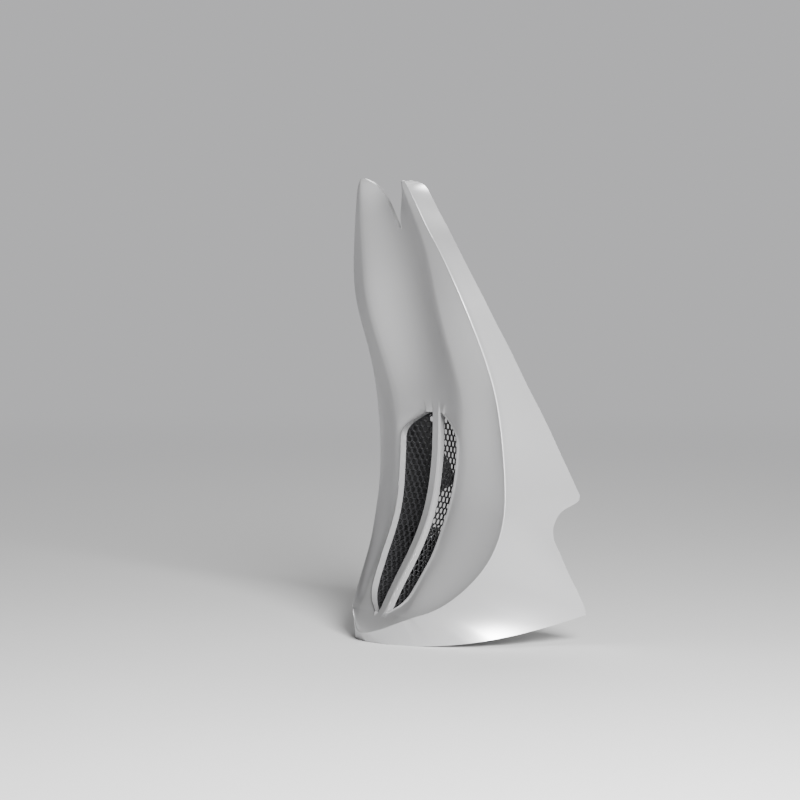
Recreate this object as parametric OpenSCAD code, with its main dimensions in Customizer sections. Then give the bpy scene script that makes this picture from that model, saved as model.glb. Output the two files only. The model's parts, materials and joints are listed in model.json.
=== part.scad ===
// Chin spoiler for a motorcycle: one moulded shell that wraps the frame downtubes behind
// the front wheel, a screened vent, and the brackets that hold it to the frame.
// +Z is up, the front of the motorcycle is -Y, and the part is symmetric about X = 0.

/* [Shell] */
// Width across the two side panels
shell_w = 249; // [225:1:290]
// Height from the bottom edge to the top of the horns
shell_h = 460; // [430:1:500]
// Depth from the nose to the lower rear corners
shell_d = 186; // [175:1:210]
// Wall thickness of the moulding
wall = 3.5; // [3:0.1:4.5]
// Radius of the ridge between the front face and the side panels
ridge_r = 5; // [3:0.5:8]
// Depth of the hollow that runs along the front of each ridge
cove = 3; // [0:0.5:5]
// Depth of the return around the vent openings
vent_return = 6; // [5:0.5:8]
// Width and height of the bevel along the bar
bar_bevel = 1.8; // [1:0.2:2.5]

/* [Screen] */
// Thickness of the vent screen
screen_t = 1.6; // [1.2:0.2:2.5]
// Distance between the middles of the screen's holes
screen_pitch = 14.5; // [13.5:0.5:18]
// Width of the strands between the holes
strand_w = 2.6; // [2:0.2:3.5]
// Gap between the screen and the back of the vent
screen_gap = 0.2; // [0.1:0.1:0.5]

/* [Frame clamps] */
// Diameter of the frame downtube
tube_d = 31.75; // [28:0.05:35]
// How far each downtube's middle lies in from the shell's full width
tube_inset = 64.5; // [63:0.5:68]
// Rake of the downtubes from upright
tube_rake = 24; // [20:1:27]
// Height of the clamps on the downtubes
clamp_z = 315; // [308:1:322]
// Clearance between the clamps and the front wall, from front to back
clamp_gap = 7; // [6:0.5:9]
// Width of each clamp band along the tube
band_w = 20; // [16:1:24]
// Thickness of the clamp band
band_t = 1.5; // [1.2:0.1:2]
// Thickness of the rubber liner
liner_t = 1.6; // [1:0.2:2.4]

/* [Brackets] */
// Thickness of the bracket steel
plate_t = 3; // [2:0.5:4]
// Width of the brackets' feet
foot_w = 18; // [16:1:22]
// Distance between the two screws of a foot
foot_pitch = 34; // [32:1:40]
// Height of the lower brackets' centre
lower_z = 75; // [70:1:80]
// Depth of the lower bar's front face, from the middle of the shell's depth
bar_y = 51; // [46:1:54]
// How far the boss faces stand in from the shell's full width
pad_inset = 26.5; // [25.5:0.5:28.5]
// Inside radius of the brackets' bend
bend_r = 1.5; // [1:0.5:2]
// Height of the lower bar's section
bar_h = 25; // [22:1:30]
// Thickness of the lower bar
bar_t = 4; // [3:0.5:5]
// Distance between the slots in the lower bar
slot_pitch = 60; // [50:1:80]
// Length of each slot in the lower bar
slot_l = 20; // [16:1:26]
// Width of each slot in the lower bar
slot_w = 8.5; // [6.5:0.5:10.5]

/* [Fasteners] */
// Thread diameter of the screws and bolts
screw_d = 6; // [5:1:8]
// Outer diameter of the threaded inserts
insert_d = 8; // [7:0.5:10]
// Length of the threaded inserts
insert_l = 7; // [6:0.5:8]
// Diameter of the moulded bosses
boss_d = 14; // [13:0.5:16]
// Clearance round the shanks of the screws and bolts
hole_gap = 0.3; // [0.2:0.05:0.5]
// Thickness of the washers
washer_t = 1.6; // [1:0.2:2]

/* [Hidden] */
$fn = 48;

silver = [0.86, 0.86, 0.87];
black = [0.08, 0.08, 0.09];

// Stations from the top of a horn down to the foot of the vent. Each row is
// [height, ridge x, ridge y, crease x, crease y, centre y, bar or notch edge x].
stations = [
    [461, 43, -65, 41, -66.5, -50, 35],
    [452, 51.5, -64, 43.5, -66.5, -50, 21.5],
    [430, 64, -59, 52, -61, -49, 9.5],
    [413, 73, -55, 58, -57, -45, 3.5],
    [385, 89, -47, 65, -51, -35, 4.5],
    [340, 108, -35, 70, -44, -19.5, 5.5],
    [295, 114, -18, 69.5, -30, -8.5, 5.5],
    [260, 117.5, -7.5, 68, -18, -4, 5.5],
    [228, 119.5, -1.7, 65, -13, -4, 5.5],
    [190, 121, 2, 60.5, -12, -4.5, 5.5],
    [150, 123.5, 2.5, 58, -16, -9.5, 5.5],
    [120, 124, -2, 54, -24, -18, 5.5],
    [90, 117.5, -11.5, 50, -35.5, -32, 5.5],
    [62, 103.5, -29.5, 48, -50, -49, 5.5],
    [40, 81.5, -50, 46, -60, -61, 5.5],
    [31, 60, -66, 40, -68, -66.5, 5.5],
    [19, 30, -79, 20, -80, -79, 5.5],
    [11, 0, -90.5, 0, -90.5, -90.5, 0]
];
notch_row = 3;
vent_top = 8;
vent_foot = 15;
corner_at = 15.35;
nose_at = 17;

// Free edge of a side panel, from the horn down the rear edge, round the cut-out for the
// frame lug and the lower corner, and along the bottom to the nose: [station, x, y, z].
edge = [
    [0, 44, -58, 461], [0.25, 48, -55, 460.5], [0.5, 51, -51.5, 459], [0.75, 53.5, -47.5, 456],
    [1, 55, -44, 451], [2, 66, -38, 430], [3, 74, -32, 413], [4, 90, -25, 385],
    [5, 107.5, -8.3, 340], [6, 114, 14.5, 295], [7, 117.5, 32, 260], [8, 120, 49.5, 228],
    [9, 121.5, 69, 190], [9.85, 122, 90, 150], [9.95, 122, 89.5, 146], [10.3, 122, 68, 134],
    [10.5, 122, 62, 126], [10.75, 122, 59, 117], [11, 122, 60, 108], [11.35, 122.3, 66, 95.5],
    [11.8, 123, 76, 74], [12.15, 123.5, 86, 56], [12.5, 124, 95, 37], [12.65, 124, 96.5, 31],
    [12.95, 121.5, 75, 25.5], [13.3, 119, 50, 20], [13.7, 115, 25, 15], [14.1, 108, 0, 10.5],
    [14.45, 98, -20, 7], [14.8, 84, -38, 4.4], [15.1, 70, -52, 3], [15.5, 52, -66, 2.3],
    [16.2, 28, -79, 2.4], [17, 0, -84.5, 3]
];

// Outer edge of the vent opening, and the line that continues it upwards: [height, x].
vent_edge = [
    [31, 10], [35, 18], [40, 27], [50, 36.5], [62, 41], [75, 44], [90, 47], [120, 48.5],
    [150, 52], [175, 54.5], [200, 55], [206, 53], [211, 48.5], [216, 41], [222, 29], [228, 15],
    [250, 24], [280, 34], [340, 38], [413, 30], [430, 27], [452, 31], [461, 38]
];

// Stations at which the shell has a row of points.
rows = [
    0, 0.25, 0.5, 0.75, 1, 1.5, 2, 2.5, 3, 3.5, 4, 4.5, 5, 5.5, 6, 6.5, 7, 7.5, 8, 8.16, 8.32,
    8.45, 8.58, 8.76, 9, 9.4, 9.85, 9.95, 10.3, 10.5, 10.75, 11, 11.35, 11.8, 12.15, 12.5,
    12.65, 12.95, 13.3, 13.7, 14.1, 14.45, 14.75, 15
];
lip_rows = 3;
last = len(rows) - 1;

// Smooth curve through a list of values, at station u.
function basis(t) = [pow(1 - t, 3), 3 * pow(t, 3) - 6 * t * t + 4,
    -3 * pow(t, 3) + 3 * t * t + 3 * t + 1, pow(t, 3)] / 6;
function held(v, i) = i < 0 ? 2 * v[0] - v[-i]
    : i > nose_at ? v[2 * nose_at - i]
    : v[i];
function pull(v, i) = (8 * held(v, i) - held(v, i - 1) - held(v, i + 1)) / 6;
function smooth(v, u) = let(i = floor(u), b = basis(u - i))
    b[0] * pull(v, i - 1) + b[1] * pull(v, i) + b[2] * pull(v, i + 1) + b[3] * pull(v, i + 2);
function column(k) = [for (s = stations) s[k]];
high = column(0);
ridge_x = [for (i = [0:nose_at]) stations[i][1]];
ridge_y = column(2);
function mirrored(v, i) = i > nose_at ? -v[2 * nose_at - i] : held(v, i);
function pull_x(v, i) = (8 * mirrored(v, i) - mirrored(v, i - 1) - mirrored(v, i + 1)) / 6;
function smooth_x(v, u) = let(i = floor(u), b = basis(u - i))
    b[0] * pull_x(v, i - 1) + b[1] * pull_x(v, i) + b[2] * pull_x(v, i + 1)
    + b[3] * pull_x(v, i + 2);
crease_x = column(3);
crease_y = column(4);
centre_y = column(5);
inner_x = column(6);

function ridge(u) = [smooth_x(ridge_x, u), smooth(ridge_y, u), smooth(high, u)];
function edge_list(k) = [for (e = edge) [e[0], e[k]]];
edge_x = edge_list(1);
edge_y = edge_list(2);
edge_z = edge_list(3);
function rim(u) = [lookup(u, edge_x), lookup(u, edge_y), lookup(u, edge_z)];

// How far the front face lies back at x, in the row at station u.
function face_y(x, u) = let(xc = smooth(crease_x, u), yc = smooth(crease_y, u),
    r = ridge(u), t = abs(x) / xc, s = (abs(x) - xc) / max(r.x - xc, 1),
    hollow = cove * lookup(u, [[6, 0], [9, 1], [13, 1], [15, 0]]))
    t < 1 ? yc + (smooth(centre_y, u) - yc) * pow(1 - t * t, 1.5)
    : yc + (r.y - yc) * pow(s, 1.3) + hollow * 6.75 * s * s * (1 - s);

// Share of the vent's detail at station u: 1 beside the openings, 0 well away from them.
function vent_share(u) = lookup(u, [[7.6, 0], [8, 1], [15, 1], [15.4, 0]]);

// Places across the front face at station u, from the middle outwards.
function across(u) = let(z = smooth(high, u), x1 = smooth(inner_x, u), x2 = x1 + bar_bevel,
    xo = lookup(z, vent_edge), xr = ridge(u).x, foot = xo + min(4, 0.3 * (xr - xo)),
    xb = max(smooth(crease_x, u), foot + 0.2 * (xr - foot)))
    [0, x1, x2, x2 + (xo - x2) / 3, x2 + (xo - x2) * 2 / 3, xo, foot,
    xb, xb + (xr - xb) * 0.4, xb + (xr - xb) * 0.75, xr];
half_cols = 10;
bar_edge = 2;
open_edge = 5;
open_foot = 6;
function detail(j, u) = vent_share(u) * (j == bar_edge ? bar_bevel * 0.8
    : j == open_edge ? -0.8
    : j == open_foot ? 0.8
    : 0);
function front_point(j, u) = let(x = across(u)[j])
    [x, face_y(x, u) + detail(j, u), smooth(high, u)];

// The lip below the vent curves from the last straight row to the bottom of the ridge.
lip_slope = 0.6;
function lip_point(j, b) = let(top = front_point(j, vent_foot),
    share = across(vent_foot)[j] / ridge(vent_foot).x,
    low = ridge(nose_at - (nose_at - corner_at) * share), drop = (top.z - low.z) / 2,
    mid = [(top.x + low.x) / 2, top.y - lip_slope * drop, top.z - drop])
    (1 - b) * (1 - b) * top + 2 * b * (1 - b) * mid + b * b * low;
function face_point(i, j) = i <= last ? front_point(j, rows[i])
    : lip_point(j, (i - last) / lip_rows);
bottom = last + lip_rows;

// Ring of stations round the ridge: down one side, then in along the bottom to the nose.
side_count = bottom + 1;
ring_count = side_count + half_cols;
function ring_at(p) = p <= last ? rows[p]
    : p < side_count ? vent_foot + (corner_at - vent_foot) * (p - last) / lip_rows
    : let(share = across(vent_foot)[half_cols - (p - bottom)] / ridge(vent_foot).x)
        nose_at - (nose_at - corner_at) * share;
function ring_ridge(p) = p < side_count ? face_point(p, half_cols)
    : face_point(bottom, half_cols - (p - bottom));
function ring_inside(p) = p < side_count ? face_point(p, half_cols - 1)
    : face_point(bottom - 1, half_cols - (p - bottom));
function unit(v) = v / max(norm(v), 0.001);
function toward(a, b, d) = a + unit(b - a) * min(d, norm(b - a) * 0.45);

// One strip across the ridge and the side panel: the rounding first, then the panel.
skirt_parts = [0.36, 0.7, 1];
skirt_cols = 2 + len(skirt_parts);
function skirt_point(p, k) = let(r = ring_ridge(p), o = rim(ring_at(p)),
    f = toward(r, ring_inside(p), ridge_r), s = toward(r, o, ridge_r), b = k / 2,
    crest = 2 * r - (f + s) / 2)
    k <= 2 ? (1 - b) * (1 - b) * f + 2 * b * (1 - b) * crest + b * b * s
    : s + (o - s) * skirt_parts[k - 3];

// Points of the half shell: front rows, then the strips. Each is [x, y, z] as drawn.
half_front = [for (i = [0:bottom]) [for (j = [0:half_cols])
    j == half_cols ? skirt_point(i, 0)
    : i == bottom ? skirt_point(side_count - 1 + half_cols - j, 0)
    : face_point(i, j)]];
half_skirt = [for (p = [0:ring_count - 1]) [for (k = [0:skirt_cols]) skirt_point(p, k)]];

function flip(p) = [-p.x, p.y, p.z];

// Whole front face as drawn, from the right ridge to the left one.
front_cols = 2 * half_cols;
drawn_face = [for (row = half_front) [for (j = [-half_cols:half_cols])
    j < 0 ? flip(row[-j]) : row[j]]];
// Whole ring of strips as drawn, from the right horn round the nose to the left horn.
ring_all = 2 * (ring_count - 1);
drawn_strips = [for (q = [0:ring_all]) let(p = q <= ring_count - 1 ? q : ring_all - q)
    [for (k = [0:skirt_cols]) q < ring_count - 1 ? flip(half_skirt[p][k]) : half_skirt[p][k]]];

// Direction across the wall, out of the front face and into the shell from the strips.
function cross_way(g, i, j) = let(a = g[max(i - 1, 0)][j], b = g[min(i + 1, len(g) - 1)][j],
    c = g[i][max(j - 1, 0)], d = g[i][min(j + 1, len(g[0]) - 1)])
    unit(cross(b - a, d - c));
function both_faces(g, t) = [for (i = [0:len(g) - 1]) for (j = [0:len(g[0]) - 1])
    each [g[i][j], g[i][j] + t * cross_way(g, i, j)]];

// Box of the shell as drawn, with its wall. It gives the scale for the wanted size.
drawn = concat(both_faces(drawn_face, -wall), both_faces(drawn_strips, wall));
drawn_w = 2 * max([for (p = drawn) p.x]);
drawn_front = min([for (p = drawn) p.y]);
drawn_rear = max([for (p = drawn) p.y]);
drawn_d = drawn_rear - drawn_front;
mid_y = (drawn_front + drawn_rear) / 2;
low_z = min([for (p = drawn) p.z]);
drawn_h = max([for (p = drawn) p.z]) - low_z;
function at_size(p) = [p.x * shell_w / drawn_w, (p.y - mid_y) * shell_d / drawn_d,
    (p.z - low_z) * shell_h / drawn_h];

// The same points at the wanted size, and the way into the shell at each.
front = [for (row = drawn_face) [for (p = row) at_size(p)]];
skirt = [for (row = drawn_strips) [for (p = row) at_size(p)]];
face_in = [for (i = [0:bottom]) [for (j = [0:front_cols]) -cross_way(front, i, j)]];
skirt_in = [for (q = [0:ring_all]) [for (k = [0:skirt_cols]) cross_way(skirt, q, k)]];

// The ring's first strip starts on the border of the front face.
function border(q) = q <= bottom ? [q, 0]
    : q <= bottom + front_cols ? [bottom, q - bottom]
    : [ring_all - q, front_cols];
function ring_of(i, j) = j == 0 ? i
    : j == front_cols ? ring_all - i
    : i == bottom ? bottom + j
    : -1;

// Wall thickness: the moulding is deeper round the vent, where the returns are.
function station_of(i) = i <= last ? rows[i] : vent_foot + (i - last) * 0.4;
function depth_at(i, j) = let(c = abs(j - half_cols), u = station_of(i))
    wall + (vent_return - wall) * vent_share(u) * (c <= open_edge ? 1 : c == open_foot ? 0.6 : 0);
front_back = [for (i = [0:bottom]) [for (j = [0:front_cols]) let(q = ring_of(i, j))
    front[i][j] + depth_at(i, j) * (q < 0 ? face_in[i][j] : unit(face_in[i][j] + skirt_in[q][0]))]];

// Numbering of the points: the front face row by row, then the strips, then the inside.
front_n = (bottom + 1) * (front_cols + 1);
all_n = front_n + (ring_all + 1) * skirt_cols;
function id(i, j) = i * (front_cols + 1) + j;
function strip_id(q, k) = k == 0 ? id(border(q)[0], border(q)[1])
    : front_n + q * skirt_cols + k - 1;

notch_i = search(notch_row, rows)[0];
vent_i = search(vent_top, rows)[0];
function in_notch(i, j) = i < notch_i && (j == half_cols - 1 || j == half_cols);
function in_vent(i, j) = let(c = j < half_cols ? half_cols - 1 - j : j - half_cols)
    i >= vent_i && i < last && c >= bar_edge && c < open_edge;
function solid_at(i, j) = i >= 0 && i < bottom && j >= 0 && j < front_cols
    && !in_notch(i, j) && !in_vent(i, j);

function wall_faces(f) = [f, [for (n = [len(f) - 1:-1:0]) f[n] + all_n]];
function rim_face(a, b) = [b, a, a + all_n, b + all_n];

module moulding() {
    outside = concat([for (r = front) each r],
        [for (q = [0:ring_all]) for (k = [1:skirt_cols]) skirt[q][k]]);
    inside = concat([for (r = front_back) each r],
        [for (q = [0:ring_all]) for (k = [1:skirt_cols]) skirt[q][k] + wall * skirt_in[q][k]]);
    face_walls = [for (i = [0:bottom - 1]) for (j = [0:front_cols - 1]) if (solid_at(i, j))
        each wall_faces([id(i, j), id(i, j + 1), id(i + 1, j + 1), id(i + 1, j)])];
    strip_walls = [for (q = [0:ring_all - 1]) for (k = [0:skirt_cols - 1])
        each wall_faces([strip_id(q, k), strip_id(q + 1, k), strip_id(q + 1, k + 1),
            strip_id(q, k + 1)])];
    // Rims close the wall along the horns, the notch, the openings and the free edge.
    rims = [for (i = [0:bottom - 1]) for (j = [0:front_cols - 1]) if (solid_at(i, j)) each [
        if (!solid_at(i - 1, j)) rim_face(id(i, j), id(i, j + 1)),
        if (!solid_at(i + 1, j) && i < bottom - 1) rim_face(id(i + 1, j + 1), id(i + 1, j)),
        if (!solid_at(i, j - 1) && j > 0) rim_face(id(i + 1, j), id(i, j)),
        if (!solid_at(i, j + 1) && j < front_cols - 1)
            rim_face(id(i, j + 1), id(i + 1, j + 1))]];
    strip_rims = concat(
        [for (q = [0:ring_all - 1]) rim_face(strip_id(q + 1, skirt_cols), strip_id(q, skirt_cols))],
        [for (k = [0:skirt_cols - 1]) each [rim_face(strip_id(0, k + 1), strip_id(0, k)),
            rim_face(strip_id(ring_all, k), strip_id(ring_all, k + 1))]]);
    polyhedron(concat(outside, inside), concat(face_walls, strip_walls, rims, strip_rims), 10);
}

// Outside of the left side panel at a depth and height, found on the strips' triangles.
left_strips = [for (q = [ring_count - 1:ring_all]) skirt[q]];
function turn(a, b, y, z) = (b.y - a.y) * (z - a.z) - (b.z - a.z) * (y - a.y);
function on_triangle(a, b, c, y, z) = let(p = turn(a, b, y, z), q = turn(b, c, y, z),
    r = turn(c, a, y, z), sum = p + q + r)
    min(p, q, r) >= 0 || max(p, q, r) <= 0 ? [(q * a.x + r * b.x + p * c.x) / sum] : [];
function panel_x(y, z) = max([for (i = [0:len(left_strips) - 2]) for (k = [2:skirt_cols - 1])
    let(g = left_strips, a = g[i][k], b = g[i + 1][k], c = g[i + 1][k + 1], d = g[i][k + 1])
    each concat(on_triangle(a, b, c, y, z), on_triangle(a, c, d, y, z))]);

// Sizes that several pieces share.
// Heads, nuts and washers follow the usual proportions of metric fasteners.
hole_r = screw_d / 2 + hole_gap;
shank_r = screw_d / 2;
washer_r = screw_d;
button_r = 0.87 * screw_d;
button_h = 0.55 * screw_d;
button_sphere = 1.28 * button_r;
button_centre = 0.62 * button_r;
socket_r = 0.76 * shank_r;
socket_d = 0.6 * button_h;
hex_r = 0.96 * screw_d;
bolt_head_h = 0.65 * screw_d;
nut_h = 0.85 * screw_d;
thread_gap = 0.05;
bolt_tail = 1.2;
ear_gap = 0.4;
ear_half = ear_gap / 2 + band_t;
tube_gap = 0.03;
bore_r = tube_d / 2 + tube_gap;
liner_r = bore_r + liner_t;
band_r = liner_r + band_t;
pad_x = shell_w / 2 - pad_inset;
tube_x = shell_w / 2 - tube_inset;
clamp_reach = pad_x - tube_x;
// Back of the front wall at a place x and a height, for the clamps' depth.
function station_at(z) = lookup(-z * drawn_h / shell_h - low_z,
    [for (i = [0:nose_at]) [-high[i], i]]);
function wall_back(x, z) = wall
    + at_size([0, face_y(x * drawn_w / shell_w, station_at(z)), 0]).y;
clamp_y = wall_back(tube_x, clamp_z) + clamp_gap + band_r;
// Free space between a piece and the bend or band beside it.
side_gap = 0.5;
ear_l = clamp_reach - plate_t - bend_r - side_gap;
clamp_bolt_x = ear_l - washer_r - side_gap;
foot_margin = 2;
foot_h = foot_pitch + 2 * (washer_r + foot_margin);
foot_y = (plate_t - foot_w - bend_r) / 2;
clamp_leg_l = clamp_reach - band_r - side_gap;
bar_leg_l = 38;
bar_bolt_x = [pad_x - 13, pad_x - 29];
bar_end_x = pad_x - plate_t - 1;
liner_split = 3;
// How far the halves of a bent bracket run into each other.
weld = 0.01;

module both_sides() {
    children();
    mirror([1, 0, 0]) children();
}
module at_clamp() {
    translate([tube_x, clamp_y, clamp_z]) rotate([tube_rake, 0, 0]) children();
}
module at_clamp_pad() {
    at_clamp() translate([clamp_reach, ear_half, 0]) children();
}
module at_bar_pad() {
    translate([pad_x, bar_y - plate_t, lower_z]) children();
}
// A piece along Y, from depth a to depth b.
module along_y(a, b) {
    translate([0, a, 0]) rotate([-90, 0, 0]) linear_extrude(b - a) children();
}
// A piece along X, from place a to place b.
module along_x(a, b) {
    translate([a, 0, 0]) rotate([90, 0, 90]) linear_extrude(b - a) children();
}
module hexagon(r) { circle(r, $fn = 6); }
module ring(outer, inner) {
    difference() {
        circle(outer);
        circle(inner);
    }
}

// Places of a foot's two screws, on the face that meets the bosses.
module at_foot_screws() {
    for (side = [-1, 1]) translate([0, foot_y, side * foot_pitch / 2]) children();
}
module at_feet() {
    both_sides() {
        at_clamp_pad() at_foot_screws() children();
        at_bar_pad() at_foot_screws() children();
    }
}

// Middles of the boss faces on the left side: two above, two below.
upper_bosses = [for (side = [-1, 1]) let(y = ear_half + foot_y, z = side * foot_pitch / 2)
    [clamp_y + y * cos(tube_rake) - z * sin(tube_rake),
    clamp_z + y * sin(tube_rake) + z * cos(tube_rake)]];
lower_bosses = [for (side = [-1, 1])
    [bar_y - plate_t + foot_y, lower_z + side * foot_pitch / 2]];
// Share of the wall that lies outside the end of a boss.
boss_sink = 0.5;

module spoiler_shell() {
    color(silver) difference() {
        union() {
            moulding();
            both_sides() for (b = concat(upper_bosses, lower_bosses))
                translate([0, b[0], b[1]])
                    along_x(pad_x, panel_x(b[0], b[1]) - boss_sink * wall) circle(boss_d / 2);
        }
        both_sides() for (b = concat(upper_bosses, lower_bosses))
            translate([0, b[0], b[1]]) along_x(pad_x - 1, pad_x + insert_l) circle(insert_d / 2);
    }
}

// The screen follows the back of the vent from just above it to just below it.
screen_rows = [vent_i - 1:last + 1];
screen_cols = [half_cols - open_foot:half_cols + open_foot];
screen_count = open_foot * 2 + 1;
// Share of the shell's row above the vent that the screen's top edge takes in.
screen_top = 0.4;
function screen_point(i, j, d) = front[i][j] + (vent_return + screen_gap + d) * face_in[i][j];
function screen_grid(d) = [for (i = screen_rows) for (j = screen_cols) i < vent_i
    ? screen_top * screen_point(i, j, d) + (1 - screen_top) * screen_point(vent_i, j, d)
    : screen_point(i, j, d)];
module screen_blank() {
    near = screen_grid(0);
    n = screen_count;
    m = len(near) / n;
    half = len(near);
    function face(a, b, c, d) = [[a, b, c, d], [d + half, c + half, b + half, a + half]];
    walls = [for (i = [0:m - 2]) for (j = [0:n - 2])
        each face(i * n + j, i * n + j + 1, (i + 1) * n + j + 1, (i + 1) * n + j)];
    ends = [for (j = [0:n - 2]) each [[j + 1, j, j + half, j + 1 + half],
        [(m - 1) * n + j, (m - 1) * n + j + 1, (m - 1) * n + j + 1 + half, (m - 1) * n + j + half]]];
    sides = [for (i = [0:m - 2]) each [[i * n, (i + 1) * n, (i + 1) * n + half, i * n + half],
        [(i + 2) * n - 1, (i + 1) * n - 1, (i + 1) * n - 1 + half, (i + 2) * n - 1 + half]]];
    polyhedron(concat(near, screen_grid(screen_t)), concat(walls, ends, sides), 10);
}
hole_w = (screen_pitch - strand_w) / sqrt(3);
row_h = screen_pitch * sqrt(3) / 2;
// Height of the first row of holes above the foot of the vent.
first_row = 6;
function scaled_edge(z) = lookup(z * drawn_h / shell_h + low_z, vent_edge) * shell_w / drawn_w;
module mesh_screen() {
    foot_z = front[last][0].z;
    top_z = front[vent_i][0].z;
    color(black) difference() {
        screen_blank();
        for (i = [0:floor((top_z - foot_z) / row_h)]) for (j = [-5:5]) {
            x = (j + (i % 2) / 2) * screen_pitch;
            z = foot_z + first_row + i * row_h;
            if (abs(x) + hole_w / 2 < min(scaled_edge(z + hole_w), scaled_edge(z - hole_w)))
                translate([x, 0, z]) along_y(-shell_d, shell_d) rotate(30) hexagon(hole_w);
        }
    }
}

// A bent bracket: its foot lies on the bosses and its leg reaches inwards.
module bracket(leg_l, leg_h, holes) {
    color(black) difference() {
        union() {
            translate([0, 0, -foot_h / 2]) linear_extrude(foot_h) difference() {
                translate([-plate_t - bend_r, plate_t - foot_w])
                    square([plate_t + bend_r, foot_w]);
                translate([-plate_t - bend_r, plate_t - foot_w])
                    square([bend_r, foot_w - plate_t - bend_r]);
                translate([-plate_t - bend_r, -bend_r]) circle(bend_r);
                difference() {
                    translate([-plate_t - bend_r, 0])
                        square([2 * (plate_t + bend_r), 2 * plate_t]);
                    translate([-plate_t - bend_r, -bend_r]) circle(plate_t + bend_r);
                }
            }
            translate([-leg_l, 0, -leg_h / 2])
                cube([leg_l - plate_t - bend_r + weld, plate_t, leg_h]);
        }
        at_foot_screws() along_x(-plate_t - 1, 1) circle(hole_r);
        for (x = holes) translate([x, 0, 0]) along_y(-1, plate_t + 1) circle(hole_r);
    }
}
module clamp_bracket() {
    at_clamp_pad() bracket(clamp_leg_l, band_w, [clamp_bolt_x - clamp_reach]);
}
module bar_bracket() {
    at_bar_pad() bracket(bar_leg_l, bar_h, [for (x = bar_bolt_x) x - pad_x]);
}
module upper_bracket_left() { clamp_bracket(); }
module upper_bracket_right() { mirror([1, 0, 0]) clamp_bracket(); }
module lower_bracket_left() { bar_bracket(); }
module lower_bracket_right() { mirror([1, 0, 0]) bar_bracket(); }

// Clamp band: a split ring with two ears that the clamp bolt draws together.
module clamp_band() {
    color("silver") at_clamp() difference() {
        translate([0, 0, -band_w / 2]) linear_extrude(band_w) difference() {
            union() {
                circle(band_r);
                translate([0, -ear_half]) square([ear_l, 2 * ear_half]);
            }
            circle(liner_r);
            translate([0, -ear_gap / 2]) square([ear_l + 1, ear_gap]);
        }
        translate([clamp_bolt_x, 0, 0]) along_y(-ear_half - 1, ear_half + 1) circle(hole_r);
    }
}
module clamp_liner() {
    color(black) at_clamp() translate([0, 0, -band_w / 2]) linear_extrude(band_w)
        difference() {
            ring(liner_r, bore_r);
            translate([0, -liner_split / 2]) square([liner_r + 1, liner_split]);
        }
}
module clamp_band_left() { clamp_band(); }
module clamp_band_right() { mirror([1, 0, 0]) clamp_band(); }
module clamp_liner_left() { clamp_liner(); }
module clamp_liner_right() { mirror([1, 0, 0]) clamp_liner(); }

// Bolt, washers and nut through plates that lie between two depths.
module bolt(back) {
    along_y(back + washer_t, back + washer_t + bolt_head_h) hexagon(hex_r);
}
module shank(front_at, back) {
    along_y(front_at - washer_t - nut_h - bolt_tail, back + washer_t + bolt_head_h / 2)
        circle(shank_r);
}
module washers(front_at, back) {
    along_y(back, back + washer_t) ring(washer_r, hole_r);
    along_y(front_at - washer_t, front_at) ring(washer_r, hole_r);
}
module nut(front_at) {
    along_y(front_at - washer_t - nut_h, front_at - washer_t) difference() {
        hexagon(hex_r);
        circle(shank_r + thread_gap);
    }
}
clamp_front = -ear_half;
clamp_back = ear_half + plate_t;
bar_front = bar_y - plate_t;
bar_back = bar_y + bar_t;
module at_clamp_bolts() {
    both_sides() at_clamp() translate([clamp_bolt_x, 0, 0]) children();
}
module at_bar_bolts() {
    both_sides() for (x = bar_bolt_x) translate([x, 0, lower_z]) children();
}
module clamp_bolts() {
    color("gainsboro") at_clamp_bolts() {
        bolt(clamp_back);
        shank(clamp_front, clamp_back);
    }
}
module clamp_washers() {
    color("gainsboro") at_clamp_bolts() washers(clamp_front, clamp_back);
}
module clamp_nuts() {
    color("gainsboro") at_clamp_bolts() nut(clamp_front);
}
module bar_bolts() {
    color("gainsboro") at_bar_bolts() {
        bolt(bar_back);
        shank(bar_front, bar_back);
    }
}
module bar_washers() {
    color("gainsboro") at_bar_bolts() washers(bar_front, bar_back);
}
module bar_nuts() {
    color("gainsboro") at_bar_bolts() nut(bar_front);
}

// Flat bar between the lower brackets, with two slots for the frame's lower cross member.
module slot(l, w) {
    for (side = [-1, 1]) translate([side * (l - w) / 2, 0]) circle(w / 2);
    square([l - w, w], center = true);
}
module lower_bar() {
    color(black) translate([0, 0, lower_z]) difference() {
        along_y(bar_y, bar_back) square([2 * bar_end_x, bar_h], center = true);
        for (side = [-1, 1]) {
            translate([side * slot_pitch / 2, 0, 0])
                along_y(bar_y - 1, bar_back + 1) slot(slot_l, slot_w);
            for (x = bar_bolt_x) translate([side * x, 0, 0])
                along_y(bar_y - 1, bar_back + 1) circle(hole_r);
        }
    }
}

// Screws that hold the brackets' feet to the threaded inserts in the bosses.
module foot_screws() {
    color("gainsboro") at_feet() {
        along_x(-plate_t - washer_t, insert_l - 1) circle(shank_r);
        difference() {
            intersection() {
                along_x(-plate_t - washer_t - button_h, -plate_t - washer_t) circle(button_r);
                translate([button_centre - plate_t - washer_t, 0, 0]) sphere(button_sphere);
            }
            along_x(-plate_t - washer_t - button_h - 1, -plate_t - washer_t - button_h + socket_d)
                hexagon(socket_r);
        }
    }
}
module foot_washers() {
    color("gainsboro") at_feet() along_x(-plate_t - washer_t, -plate_t) ring(washer_r, hole_r);
}
module threaded_inserts() {
    color("goldenrod") at_feet() along_x(0, insert_l) ring(insert_d / 2, shank_r + thread_gap);
}

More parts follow.
